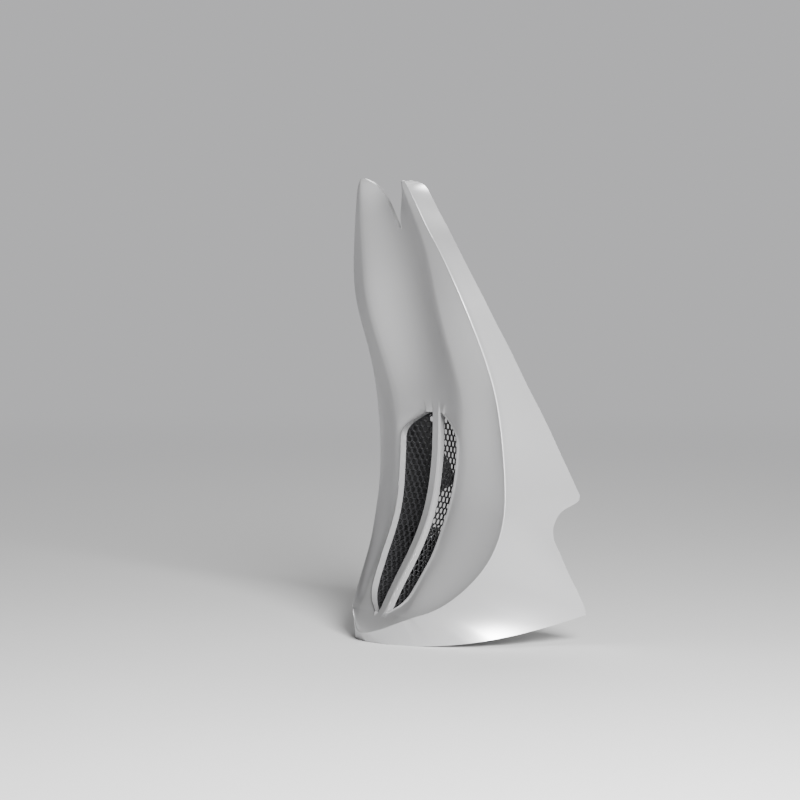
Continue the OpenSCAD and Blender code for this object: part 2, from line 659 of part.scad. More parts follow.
spoiler_shell();
mesh_screen();
upper_bracket_left();
upper_bracket_right();
clamp_band_left();
clamp_band_right();
clamp_liner_left();
clamp_liner_right();
clamp_bolts();
clamp_washers();
clamp_nuts();
lower_bracket_left();
lower_bracket_right();
lower_bar();
bar_bolts();
bar_washers();
bar_nuts();
foot_screws();
foot_washers();
threaded_inserts();
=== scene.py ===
import json
import math
import bmesh
import bpy
import numpy as np
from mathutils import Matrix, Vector


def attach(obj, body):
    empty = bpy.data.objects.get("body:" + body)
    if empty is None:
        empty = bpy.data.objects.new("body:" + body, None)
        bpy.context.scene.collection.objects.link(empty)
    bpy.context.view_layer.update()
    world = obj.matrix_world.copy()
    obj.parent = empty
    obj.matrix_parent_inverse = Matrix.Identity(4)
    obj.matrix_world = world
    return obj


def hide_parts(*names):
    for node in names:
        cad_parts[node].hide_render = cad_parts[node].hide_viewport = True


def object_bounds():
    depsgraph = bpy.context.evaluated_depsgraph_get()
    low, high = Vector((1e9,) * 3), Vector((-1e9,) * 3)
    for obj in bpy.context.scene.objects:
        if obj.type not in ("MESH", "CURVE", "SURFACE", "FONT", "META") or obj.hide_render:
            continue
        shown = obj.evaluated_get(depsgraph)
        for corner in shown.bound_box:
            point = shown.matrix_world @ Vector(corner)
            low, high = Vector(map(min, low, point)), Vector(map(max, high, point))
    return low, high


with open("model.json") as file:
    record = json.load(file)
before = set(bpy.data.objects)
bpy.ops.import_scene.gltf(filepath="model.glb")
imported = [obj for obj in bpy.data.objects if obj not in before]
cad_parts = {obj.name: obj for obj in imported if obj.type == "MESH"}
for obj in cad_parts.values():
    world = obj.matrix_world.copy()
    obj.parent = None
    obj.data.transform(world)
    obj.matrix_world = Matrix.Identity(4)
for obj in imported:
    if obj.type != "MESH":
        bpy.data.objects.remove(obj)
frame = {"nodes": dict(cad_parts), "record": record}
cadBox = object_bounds()
nodes = frame["nodes"]
mm = 0.001
sameSpot = 1e-6
print("frame loaded,", len(nodes), "nodes")

# Camera: a long lens from the part's front left, a little above its middle
cameraView = {
    "azimuth": 60,
    "elevation": 4,
    "distance": 5.0,
    "lens": 225,
    "sensor": 36,
    "target": (0, -0.0038, 0.225),
    "sideStep": -0.0389,
    "rise": 0.013,
    "clip": (0.1, 100),
}


def addObject(name, data):
    thing = bpy.data.objects.new(name, data)
    bpy.context.scene.collection.objects.link(thing)
    return thing


def viewAxes(azimuth, elevation):
    a, e = math.radians(azimuth), math.radians(elevation)
    back = Vector((math.sin(a) * math.cos(e), -math.cos(a) * math.cos(e), math.sin(e)))
    right = Vector((math.cos(a), math.sin(a), 0))
    return back, right, back.cross(right)


def makeCamera(v):
    back, right, up = viewAxes(v["azimuth"], v["elevation"])
    camera = addObject("camera", bpy.data.cameras.new("camera"))
    camera.data.lens = v["lens"]
    camera.data.sensor_width = v["sensor"]
    camera.data.clip_start, camera.data.clip_end = v["clip"]
    place = Vector(v["target"]) + back * v["distance"]
    camera.location = place + right * v["sideStep"] + up * v["rise"]
    camera.rotation_euler = back.to_track_quat("Z", "Y").to_euler()
    bpy.context.scene.camera = camera


makeCamera(cameraView)
print("camera set")


def limitedSlopes(xs, ys):
    # Slopes that keep a curve from swinging past its points
    steps = np.diff(ys) / np.diff(xs)
    inner = [0 if a * b <= 0 else 2 * a * b / (a + b) for a, b in zip(steps[:-1], steps[1:])]
    return [steps[0], *inner, steps[-1]]


def smoothPieces(points, corners):
    # A curve through the points that keeps a true corner at each given place
    xs, ys = zip(*points)
    cuts = [0, *[xs.index(c) for c in corners], len(xs) - 1]
    return [(xs[a:b + 1], ys[a:b + 1], limitedSlopes(xs[a:b + 1], ys[a:b + 1]))
            for a, b in zip(cuts[:-1], cuts[1:])]


def readPieces(pieces, x):
    xs, ys, slopes = next((p for p in pieces if x <= p[0][-1]), pieces[-1])
    i = max(0, min(len(xs) - 2, int(np.searchsorted(xs, x)) - 1))
    width = xs[i + 1] - xs[i]
    t = min(1, max(0, (x - xs[i]) / width))
    a, b = (1 + 2 * t) * (1 - t) ** 2, t * (1 - t) ** 2
    c, d = t * t * (3 - 2 * t), t * t * (t - 1)
    return a * ys[i] + b * width * slopes[i] + c * ys[i + 1] + d * width * slopes[i + 1]


def ramp(x, low, high):
    t = min(1, max(0, (x - low) / (high - low)))
    return t * t * (3 - 2 * t)


# Shell: the moulding's own values, in mm as drawn before it is set to size. Rows are counted in
# stations from the horns' tips down to the nose, and pairs are the stations where a change runs
shell = {
    "size": (249, 186, 460),
    "drawn": (248.6, 186.2, 459.7),
    "midY": 3.8,
    "lowZ": 2.3,
    "wall": 3.5,
    "ridgeRadius": 5,
    "roundLimit": 0.45,
    "archPower": 1.5,
    "flankPower": 1.3,
    "cove": 3,
    "coveIn": (6, 9),
    "coveOut": (13, 15),
    "ventReturn": 6,
    "trimIn": (7.6, 8),
    "trimOut": (15, 15.4),
    "trimRows": 4,
    "barBevel": 1.8,
    "bevelSlope": 0.8,
    "lipHeight": 0.8,
    "lipWidth": 4,
    "lipLimit": 0.3,
    "lipSlope": 0.6,
    "returnDrop": 0.4,
    "bandLimit": 0.2,
    "bandPlaces": (0.4, 0.75),
    "fineStep": 0.01,
    "ventWeight": 0.6,
    "rowStep": 2.4,
    "lipRows": 12,
    "bandColumns": 13,
    "roundSteps": 8,
    "panelSteps": 12,
    "edgeBevel": 0.7,
    "notchAt": 3,
    "ventTop": 8,
    "ventFoot": 15,
    "cornerAt": 15.35,
    "noseAt": 17,
}

# Places across half of the face, by number: 0 is the middle
across = {"bar": 1, "bevel": 2, "vent": 5, "foot": 6, "band": 7, "flank": 9, "ridge": 10}

# Height, ridge x, ridge y, crease x, crease y, centre y, bar or notch edge x
stations = [
    (461, 43, -65, 41, -66.5, -50, 35),
    (452, 51.5, -64, 43.5, -66.5, -50, 21.5),
    (430, 64, -59, 52, -61, -49, 9.5),
    (413, 73, -55, 58, -57, -45, 3.5),
    (385, 89, -47, 65, -51, -35, 4.5),
    (340, 108, -35, 70, -44, -19.5, 5.5),
    (295, 114, -18, 69.5, -30, -8.5, 5.5),
    (260, 117.5, -7.5, 68, -18, -4, 5.5),
    (228, 119.5, -1.7, 65, -13, -4, 5.5),
    (190, 121, 2, 60.5, -12, -4.5, 5.5),
    (150, 123.5, 2.5, 58, -16, -9.5, 5.5),
    (120, 124, -2, 54, -24, -18, 5.5),
    (90, 117.5, -11.5, 50, -35.5, -32, 5.5),
    (62, 103.5, -29.5, 48, -50, -49, 5.5),
    (40, 81.5, -50, 46, -60, -61, 5.5),
    (31, 60, -66, 40, -68, -66.5, 5.5),
    (19, 30, -79, 20, -80, -79, 5.5),
    (11, 0, -90.5, 0, -90.5, -90.5, 0),
]

# Free edge of a side panel, down the rear edge and forward along the bottom: station, x, y, z
freeEdge = [
    (0, 44, -58, 461), (0.25, 48, -55, 460.5), (0.5, 51, -51.5, 459), (0.75, 53.5, -47.5, 456),
    (1, 55, -44, 451), (2, 66, -38, 430), (3, 74, -32, 413), (4, 90, -25, 385),
    (5, 107.5, -8.3, 340), (6, 114, 14.5, 295), (7, 117.5, 32, 260), (8, 120, 49.5, 228),
    (9, 121.5, 69, 190), (9.85, 122, 90, 150), (9.95, 122, 89.5, 146), (10.3, 122, 68, 134),
    (10.5, 122, 62, 126), (10.75, 122, 59, 117), (11, 122, 60, 108), (11.35, 122.3, 66, 95.5),
    (11.8, 123, 76, 74), (12.15, 123.5, 86, 56), (12.5, 124, 95, 37), (12.65, 124, 96.5, 31),
    (12.95, 121.5, 75, 25.5), (13.3, 119, 50, 20), (13.7, 115, 25, 15), (14.1, 108, 0, 10.5),
    (14.45, 98, -20, 7), (14.8, 84, -38, 4.4), (15.1, 70, -52, 3), (15.5, 52, -66, 2.3),
    (16.2, 28, -79, 2.4), (17, 0, -84.5, 3),
]
edgeCorners = [9.85, 12.65]
edgeCurves = [smoothPieces([(e[0], e[k]) for e in freeEdge], edgeCorners) for k in (1, 2, 3)]

# Outer edge of the vent, and the line that continues it upwards: height, x
ventEdge = [
    (31, 10), (35, 18), (40, 27), (50, 36.5), (62, 41), (75, 44), (90, 47), (120, 48.5),
    (150, 52), (175, 54.5), (200, 55), (206, 53), (211, 48.5), (216, 41), (222, 29), (228, 15),
    (250, 24), (280, 34), (340, 38), (413, 30), (430, 27), (452, 31), (461, 38),
]
ventCurve = smoothPieces(ventEdge, [228])


def heldValue(values, i, sign):
    # Past the horns' tips the values run on straight, and past the nose they are mirrored
    if i < 0:
        return 2 * values[0] - values[-i]
    if i > shell["noseAt"]:
        return sign * values[2 * shell["noseAt"] - i]
    return values[i]


def splineValue(column, u, sign=1):
    # A cubic B-spline whose control values are pulled out so that it passes close to the stations
    values = [s[column] for s in stations]
    i = math.floor(u)
    t = u - i
    weights = ((1 - t) ** 3, 3 * t ** 3 - 6 * t * t + 4, -3 * t ** 3 + 3 * t * t + 3 * t + 1, t ** 3)
    total = 0
    for k, weight in zip(range(i - 1, i + 3), weights):
        pulled = 8 * heldValue(values, k, sign) - heldValue(values, k - 1, sign)
        total += weight * (pulled - heldValue(values, k + 1, sign)) / 6
    return total / 6


def ridgePoint(u):
    return np.array([splineValue(1, u, -1), splineValue(2, u), splineValue(0, u)])


def rimPoint(u):
    return np.array([readPieces(curve, u) for curve in edgeCurves])


def rowAt(u):
    # Everything that the front face needs to know about one row
    ridge = ridgePoint(u)
    barX, openX = splineValue(6, u), readPieces(ventCurve, splineValue(0, u))
    footX = openX + min(shell["lipWidth"], shell["lipLimit"] * (ridge[0] - openX))
    creaseX = splineValue(3, u)
    bandX = max(creaseX, footX + shell["bandLimit"] * (ridge[0] - footX))
    wide = ridge[0] - bandX
    bevelX = barX + shell["barBevel"]
    places = [0, barX, bevelX, *[bevelX + (openX - bevelX) * k / 3 for k in (1, 2, 3)]]
    places += [footX, bandX, *[bandX + share * wide for share in shell["bandPlaces"]], ridge[0]]
    return {
        "z": ridge[2], "ridge": ridge, "creaseX": creaseX, "creaseY": splineValue(4, u),
        "centreY": splineValue(5, u), "places": places, "u": u,
        "hollow": shell["cove"] * min(ramp(u, *shell["coveIn"]), 1 - ramp(u, *shell["coveOut"])),
        "vent": min(ramp(u, *shell["trimIn"]), 1 - ramp(u, *shell["trimOut"])),
    }


def faceDepth(row, x):
    # An arch between the creases, and from each crease a flank up to the ridge, with a cove that is
    # deepest at two thirds of the way
    t, s = x / row["creaseX"], (x - row["creaseX"]) / max(row["ridge"][0] - row["creaseX"], 1)
    if t < 1:
        return row["creaseY"] + (row["centreY"] - row["creaseY"]) * (1 - t * t) ** shell["archPower"]
    rise = (row["ridge"][1] - row["creaseY"]) * s ** shell["flankPower"]
    return row["creaseY"] + rise + row["hollow"] * (27 / 4) * s * s * (1 - s)


def placeAt(row, c):
    i = min(int(c), across["flank"])
    return row["places"][i] + (c - i) * (row["places"][i + 1] - row["places"][i])


def facePoint(row, c):
    x = placeAt(row, c)
    return np.array([x, faceDepth(row, x), row["z"]])


def trimAt(c):
    # Bevel along the bar, and the bead and groove round the opening, as depth in mm
    lip, bevel = shell["lipHeight"], shell["barBevel"] * shell["bevelSlope"]
    if c < across["bar"] or c > across["band"]:
        return 0
    if c <= across["bevel"]:
        return bevel * (c - across["bar"])
    if c <= across["vent"]:
        span = across["vent"] - across["bevel"]
        return bevel * (across["vent"] - c) / span - lip * (c - across["bevel"]) / span
    if c <= across["foot"]:
        return -lip * math.cos(math.pi * (c - across["vent"]))
    return lip * (1 + math.cos(math.pi * (c - across["foot"]))) / 2


def thickAt(c):
    # Share of the deeper return: whole over the opening, none beyond the groove
    drop = shell["returnDrop"]
    if c <= across["vent"]:
        return 1
    if c <= across["foot"]:
        return 1 - drop * (c - across["vent"])
    return max(0, (1 - drop) * (across["band"] - c))


footRow = rowAt(shell["ventFoot"])


def noseStation(c):
    # Where a column meets the ridge's run from the corner to the nose
    share = placeAt(footRow, c) / footRow["ridge"][0]
    return shell["noseAt"] - (shell["noseAt"] - shell["cornerAt"]) * share


def lipPoint(c, b):
    # The nose's lip below the vent, from the face's last row at 0 to the ridge at 1
    top, low = facePoint(footRow, c), ridgePoint(noseStation(c))
    drop = (top[2] - low[2]) / 2
    middle = np.array([(top[0] + low[0]) / 2, top[1] - shell["lipSlope"] * drop, top[2] - drop])
    return (1 - b) ** 2 * top + 2 * b * (1 - b) * middle + b * b * low


def length(v):
    return float(np.linalg.norm(v))


def rowStations():
    # Rows close enough together to follow the height, the free edge and the vent's outline
    step = shell["fineStep"]
    fine = np.arange(0, shell["ventFoot"] + step / 10, step)
    heights = [splineValue(0, u) for u in fine]
    places = np.array([[z, *rimPoint(u)[1:], readPieces(ventCurve, z)] for u, z in zip(fine, heights)])
    moves = np.abs(np.diff(places, axis=0))
    moves[:, 3] *= shell["ventWeight"]
    travel = np.concatenate([[0], np.cumsum(moves.max(axis=1))])
    marks = [0, shell["notchAt"], shell["ventTop"], *edgeCorners, shell["ventFoot"]]
    found = []
    for a, b in zip(marks[:-1], marks[1:]):
        start, end = np.interp([a, b], fine, travel)
        count = max(1, round((end - start) / shell["rowStep"]))
        found += list(np.interp(np.linspace(start, end, count, endpoint=False), travel, fine))
    return [round(float(u), 6) for u in found] + [shell["ventFoot"]]


columnSteps = [3, 2, 3, 3, 3, 4, 4]
columns = [start + k / count for start, count in enumerate(columnSteps) for k in range(count)]


def columnSet(ridgeGap):
    # Columns across half of the face, up to where the ridge's rounding begins
    band, count = across["band"], shell["bandColumns"]
    wide = across["ridge"] - ridgeGap - band
    return columns + [band + wide * k / count for k in range(count + 1)]


def shellGrids():
    uList = rowStations()
    rows = [rowAt(u) for u in uList]
    flank, ridgeAt = across["flank"], across["ridge"]
    face, trim, deep, ring = [], [], [], []

    def roundShare(a, b):
        return min(shell["ridgeRadius"] / length(a - b), shell["roundLimit"])

    for row in rows:
        cs = columnSet(roundShare(facePoint(row, flank), row["ridge"]))
        face.append([facePoint(row, c) for c in cs])
        trim.append([row["vent"] * trimAt(c) for c in cs])
        deep.append([row["vent"] * thickAt(c) for c in cs])
        ring.append((row["ridge"], rimPoint(row["u"])))
    for k in range(1, shell["lipRows"] + 1):
        b = k / shell["lipRows"]
        gap = roundShare(lipPoint(flank, b), lipPoint(ridgeAt, b))
        cs = columnSet(gap)
        # Each column stops short of the ridge by its rounding, measured on the column's last third
        ends = [1 - roundShare(lipPoint(c, 2 / 3), lipPoint(c, 1)) / 3 for c in cs]
        face.append([lipPoint(c, b * end) for c, end in zip(cs, ends)])
        fade = 1 - ramp(k, 0, shell["trimRows"])
        trim.append([fade * trimAt(c) for c in cs])
        deep.append([fade * thickAt(c) for c in cs])
        station = shell["ventFoot"] + (shell["cornerAt"] - shell["ventFoot"]) * b
        ring.append((lipPoint(ridgeAt, b), rimPoint(station)))
    for c in reversed(cs[:-1]):
        # The face stops short of the ridge by its rounding, but the ring runs along the ridge
        band, span = across["band"], ridgeAt - across["band"]
        onRidge = c if c <= band else band + (c - band) * span / (span - gap)
        ring.append((lipPoint(onRidge, 1), rimPoint(noseStation(onRidge))))
    return uList, np.array(face), np.array(trim), np.array(deep), ring


def skirtStrip(start, ridge, rim):
    # One strip over the rounded ridge and across the side panel to its free edge. The handles at
    # 4/3 take the rounding's middle through the ridge
    way = rim - ridge
    reach = min(shell["ridgeRadius"], shell["roundLimit"] * length(way))
    end = ridge + way / max(length(way), 0.001) * reach
    p1, p2 = start + (ridge - start) * 4 / 3, end + (ridge - end) * 4 / 3
    strip = []
    for k in range(shell["roundSteps"] + 1):
        b = k / shell["roundSteps"]
        strip.append((1 - b) ** 3 * start + 3 * b * (1 - b) ** 2 * p1
                     + 3 * b * b * (1 - b) * p2 + b ** 3 * end)
    count = shell["panelSteps"]
    return strip + [end + (rim - end) * k / count for k in range(1, count + 1)]


def atSize(points):
    p = np.array(points, float)
    size, drawn = shell["size"], shell["drawn"]
    p[..., 0] *= size[0] / drawn[0] * mm
    p[..., 1] = (p[..., 1] - shell["midY"]) * size[1] / drawn[1] * mm
    p[..., 2] = (p[..., 2] - shell["lowZ"]) * size[2] / drawn[2] * mm
    return p


def gridNormals(grid):
    n = np.cross(np.gradient(grid, axis=0), np.gradient(grid, axis=1))
    return n / np.maximum(np.linalg.norm(n, axis=2, keepdims=True), 1e-12)


def calmCorners(normals, reach=3):
    # Where the ridge runs on smoothly past a corner of the grid, its two edges are one line and
    # give no normal, so the corner takes the one from just inside it
    for side in (1, -1):
        block = normals[-1 - reach:, ::side][:, :reach + 1]
        block[:] = block[0, reach]


def newPiece(name, verts, faces, materials, faceMaterial=None):
    mesh = bpy.data.meshes.new(name)
    mesh.from_pydata([tuple(map(float, v)) for v in verts], [], faces)
    for material in materials:
        mesh.materials.append(material)
    if faceMaterial is not None:
        mesh.polygons.foreach_set("material_index", faceMaterial)
    mesh.polygons.foreach_set("use_smooth", [True] * len(mesh.polygons))
    mesh.validate()
    return addObject(name, mesh)


def mergePoints(piece, distance, sharpAngle):
    # Join the points that meet, turn the faces outwards and mark the sharp edges
    mesh = bmesh.new()
    mesh.from_mesh(piece.data)
    bmesh.ops.remove_doubles(mesh, verts=mesh.verts, dist=distance * mm)
    bmesh.ops.recalc_face_normals(mesh, faces=mesh.faces)
    mesh.to_mesh(piece.data)
    mesh.free()
    piece.data.set_sharp_from_angle(angle=math.radians(sharpAngle))


def addBevel(piece, width, segments=2, angle=35):
    bevel = piece.modifiers.new("edge", "BEVEL")
    bevel.width = width
    bevel.segments = segments
    bevel.limit_method = "ANGLE"
    bevel.angle_limit = math.radians(angle)
    bevel.harden_normals = True
    bevel.miter_outer = "MITER_ARC"


def islandsOf(node):
    # Corners of each separate solid in a node
    mesh = bmesh.new()
    mesh.from_mesh(nodes[node].data)
    bmesh.ops.remove_doubles(mesh, verts=mesh.verts, dist=sameSpot)
    left, found = set(mesh.verts), []
    while left:
        queue = [left.pop()]
        group = list(queue)
        while queue:
            for edge in queue.pop().link_edges:
                for other in edge.verts:
                    if other in left:
                        left.remove(other)
                        queue.append(other)
                        group.append(other)
        found.append(np.array([v.co for v in group]))
    mesh.free()
    return sorted(found, key=lambda points: tuple(points.min(axis=0).round(5)))


# Node groups that several materials share
def newGroup(name, inputs, outputs):
    group = bpy.data.node_groups.new(name, "ShaderNodeTree")
    for label, kind, value in inputs:
        socket = group.interface.new_socket(label, in_out="INPUT", socket_type=kind)
        socket.default_value = value
    for label, kind in outputs:
        group.interface.new_socket(label, in_out="OUTPUT", socket_type=kind)
    return group, group.nodes.new("NodeGroupInput"), group.nodes.new("NodeGroupOutput")


def link(tree, a, b):
    tree.links.new(a, b)


def mathNode(tree, operation, first, second):
    node = tree.nodes.new("ShaderNodeMath")
    node.operation = operation
    for socket, value in zip(node.inputs, (first, second)):
        if isinstance(value, (int, float)):
            socket.default_value = value
        else:
            link(tree, value, socket)
    return node.outputs[0]


def mixColors(tree, factor, first, second):
    mix = tree.nodes.new("ShaderNodeMix")
    mix.data_type = "RGBA"
    link(tree, factor, mix.inputs["Factor"])
    for label, value in (("A", first), ("B", second)):
        if isinstance(value, tuple):
            mix.inputs[label].default_value = (*value, 1)
        else:
            link(tree, value, mix.inputs[label])
    return mix.outputs["Result"]


def smoothShare(tree, value, low, high):
    share = tree.nodes.new("ShaderNodeMapRange")
    share.interpolation_type = "SMOOTHSTEP"
    share.inputs["From Min"].default_value = low
    share.inputs["From Max"].default_value = high
    link(tree, value, share.inputs["Value"])
    return share.outputs["Result"]


def makeGrainGroup():
    # A fine grain with a coarser one under it, for the bump
    tree, given, out = newGroup(
        "surfaceGrain",
        [("Scale", "NodeSocketFloat", 900), ("Coarse", "NodeSocketFloat", 0.3)],
        [("Height", "NodeSocketFloat")])
    place = tree.nodes.new("ShaderNodeTexCoord")
    coarseScale = mathNode(tree, "MULTIPLY", given.outputs["Scale"], 0.23)
    noises = []
    for detail, scale in ((2, given.outputs["Scale"]), (1, coarseScale)):
        noise = tree.nodes.new("ShaderNodeTexNoise")
        noise.inputs["Detail"].default_value = detail
        link(tree, place.outputs["Object"], noise.inputs["Vector"])
        link(tree, scale, noise.inputs["Scale"])
        noises.append(noise.outputs["Fac"])
    share = mathNode(tree, "MULTIPLY", noises[1], given.outputs["Coarse"])
    link(tree, mathNode(tree, "ADD", noises[0], share), out.inputs["Height"])
    return tree


def makeToneGroup():
    # Two near colours in soft clouds, with the roughness a little up and down along with them
    tree, given, out = newGroup(
        "toneVariation",
        [("Color", "NodeSocketColor", (0.5, 0.5, 0.5, 1)),
         ("Second", "NodeSocketColor", (0.4, 0.4, 0.4, 1)),
         ("Scale", "NodeSocketFloat", 8), ("Roughness", "NodeSocketFloat", 0.4),
         ("Spread", "NodeSocketFloat", 0.06)],
        [("Color", "NodeSocketColor"), ("Roughness", "NodeSocketFloat")])
    place = tree.nodes.new("ShaderNodeTexCoord")
    cloud = tree.nodes.new("ShaderNodeTexNoise")
    cloud.inputs["Detail"].default_value = 4
    link(tree, place.outputs["Object"], cloud.inputs["Vector"])
    link(tree, given.outputs["Scale"], cloud.inputs["Scale"])
    tone = mixColors(tree, cloud.outputs["Fac"], given.outputs["Color"], given.outputs["Second"])
    link(tree, tone, out.inputs["Color"])
    fromMiddle = mathNode(tree, "SUBTRACT", cloud.outputs["Fac"], 0.5)
    offset = mathNode(tree, "MULTIPLY", fromMiddle, given.outputs["Spread"])
    link(tree, mathNode(tree, "ADD", given.outputs["Roughness"], offset), out.inputs["Roughness"])
    return tree


grainGroup = makeGrainGroup()
toneGroup = makeToneGroup()


def useGroup(tree, group, values):
    node = tree.nodes.new("ShaderNodeGroup")
    node.node_tree = group
    for label, value in values.items():
        node.inputs[label].default_value = value
    return node


def makeMaterial(name, look):
    material = bpy.data.materials.new(name)
    material.use_nodes = True
    tree = material.node_tree
    shader = tree.nodes["Principled BSDF"]
    tone = useGroup(tree, toneGroup, {
        "Color": (*look["color"], 1), "Second": (*look["second"], 1), "Scale": look["cloud"],
        "Roughness": look["roughness"], "Spread": look["spread"]})
    link(tree, tone.outputs["Color"], shader.inputs["Base Color"])
    link(tree, tone.outputs["Roughness"], shader.inputs["Roughness"])
    grain = useGroup(tree, grainGroup, {"Scale": look["grain"], "Coarse": look["coarse"]})
    bump = tree.nodes.new("ShaderNodeBump")
    bump.inputs["Distance"].default_value = look["relief"]
    bump.inputs["Strength"].default_value = look["strength"]
    link(tree, grain.outputs["Height"], bump.inputs["Height"])
    link(tree, bump.outputs["Normal"], shader.inputs["Normal"])
    shader.inputs["Metallic"].default_value = look["metallic"]
    shader.inputs["Specular IOR Level"].default_value = look.get("specular", 0.5)
    shader.inputs["Coat Weight"].default_value = look.get("coat", 0)
    shader.inputs["Coat Roughness"].default_value = look.get("coatRoughness", 0.2)
    return material


finishes = {
    "satinSilver": {
        "color": (0.5, 0.5, 0.505), "second": (0.47, 0.47, 0.475), "cloud": 6, "roughness": 0.36,
        "spread": 0.05, "grain": 1500, "coarse": 0.3, "relief": 0.00004, "strength": 0.3,
        "metallic": 0.75, "coat": 0.15, "coatRoughness": 0.3},
    "rawInside": {
        "color": (0.022, 0.022, 0.023), "second": (0.03, 0.03, 0.031), "cloud": 9, "roughness": 0.62,
        "spread": 0.1, "grain": 900, "coarse": 0.5, "relief": 0.0001, "strength": 0.5, "metallic": 0,
        "specular": 0.25},
    "screenBlack": {
        "color": (0.008, 0.008, 0.009), "second": (0.013, 0.013, 0.014), "cloud": 20, "roughness": 0.6,
        "spread": 0.1, "grain": 1800, "coarse": 0.3, "relief": 0.00005, "strength": 0.3, "metallic": 0,
        "specular": 0.12},
    "powderBlack": {
        "color": (0.022, 0.022, 0.023), "second": (0.03, 0.03, 0.031), "cloud": 12, "roughness": 0.42,
        "spread": 0.08, "grain": 700, "coarse": 0.6, "relief": 0.00008, "strength": 0.5, "metallic": 0},
    "brushedBand": {
        "color": (0.56, 0.56, 0.57), "second": (0.5, 0.5, 0.51), "cloud": 25, "roughness": 0.34,
        "spread": 0.12, "grain": 1200, "coarse": 0.4, "relief": 0.00003, "strength": 0.4, "metallic": 1},
    "blackRubber": {
        "color": (0.02, 0.02, 0.02), "second": (0.03, 0.03, 0.03), "cloud": 15, "roughness": 0.75,
        "spread": 0.1, "grain": 1100, "coarse": 0.8, "relief": 0.0001, "strength": 0.6, "metallic": 0},
    "brightZinc": {
        "color": (0.62, 0.63, 0.64), "second": (0.52, 0.54, 0.56), "cloud": 60, "roughness": 0.3,
        "spread": 0.14, "grain": 1600, "coarse": 0.4, "relief": 0.00002, "strength": 0.4, "metallic": 1},
    "turnedBrass": {
        "color": (0.62, 0.44, 0.18), "second": (0.54, 0.38, 0.16), "cloud": 50, "roughness": 0.32,
        "spread": 0.1, "grain": 1500, "coarse": 0.4, "relief": 0.00002, "strength": 0.4, "metallic": 1},
}
materials = {name: makeMaterial(name, look) for name, look in finishes.items()}
print("materials made,", len(materials))


# Bosses inside the shell, one round each threaded insert
boss = {"radius": 7, "hole": 4, "depth": 7, "fillet": 1.6, "filletSteps": 4, "chamfer": 0.5,
        "sides": 48, "sink": 1.6}


def latheFaces(rings, sides, closed):
    # Quads between each ring of points and the next, and back to the first ring where it is closed
    faces = []
    for a in range(rings if closed else rings - 1):
        here, there = a * sides, (a + 1) % rings * sides
        for k in range(sides):
            ahead = (k + 1) % sides
            faces.append((here + k, here + ahead, there + ahead, there + k))
    return faces


def gridX(grid, y, z):
    # Where the grid lies across X at a depth and height, on the plane through its nearest point
    yz = grid[:, :, 1:]
    i, j = np.unravel_index(np.argmin(((yz - (y, z)) ** 2).sum(axis=2)), yz.shape[:2])
    down = grid[min(i + 1, len(grid) - 1), j] - grid[max(i - 1, 0), j]
    side = grid[i, min(j + 1, grid.shape[1] - 1)] - grid[i, max(j - 1, 0)]
    n = np.cross(down, side)
    place = grid[i, j]
    return place[0] - (n[1] * (y - place[1]) + n[2] * (z - place[2])) / n[0]


def bossPoints(mouth, centre, wallInside, wallOutside):
    # Rings from the bore's end round the mouth to a fillet that follows the wall
    side = 1 if mouth > 0 else -1
    r, hole, fillet, chamfer = (boss[k] * mm for k in ("radius", "hole", "fillet", "chamfer"))
    end = gridX(wallOutside, centre[1], centre[2]) - side * boss["sink"] * mm
    straight = [(boss["depth"] * mm, hole), (chamfer, hole), (0, hole + chamfer), (0, r - chamfer),
                (chamfer, r)]
    steps = boss["filletSteps"]
    points = [[] for _ in range(len(straight) + steps + 3)]
    for k in range(boss["sides"]):
        a = 2 * math.pi * k / boss["sides"] * side
        way = np.array([math.cos(a), math.sin(a)])
        base = gridX(wallInside, *(centre[1:] + way * (r + fillet)))
        rings = [(mouth + side * along, radius) for along, radius in straight]
        for step in range(steps + 1):
            b = math.pi / 2 * step / steps
            rings.append((base - side * fillet * (1 - math.sin(b)), r + fillet * (1 - math.cos(b))))
        rings += [(end, r), (end, hole)]
        for ring, (x, radius) in zip(points, rings):
            ring.append((x, *(centre[1:] + way * radius)))
    return [p for ring in points for p in ring], len(points)


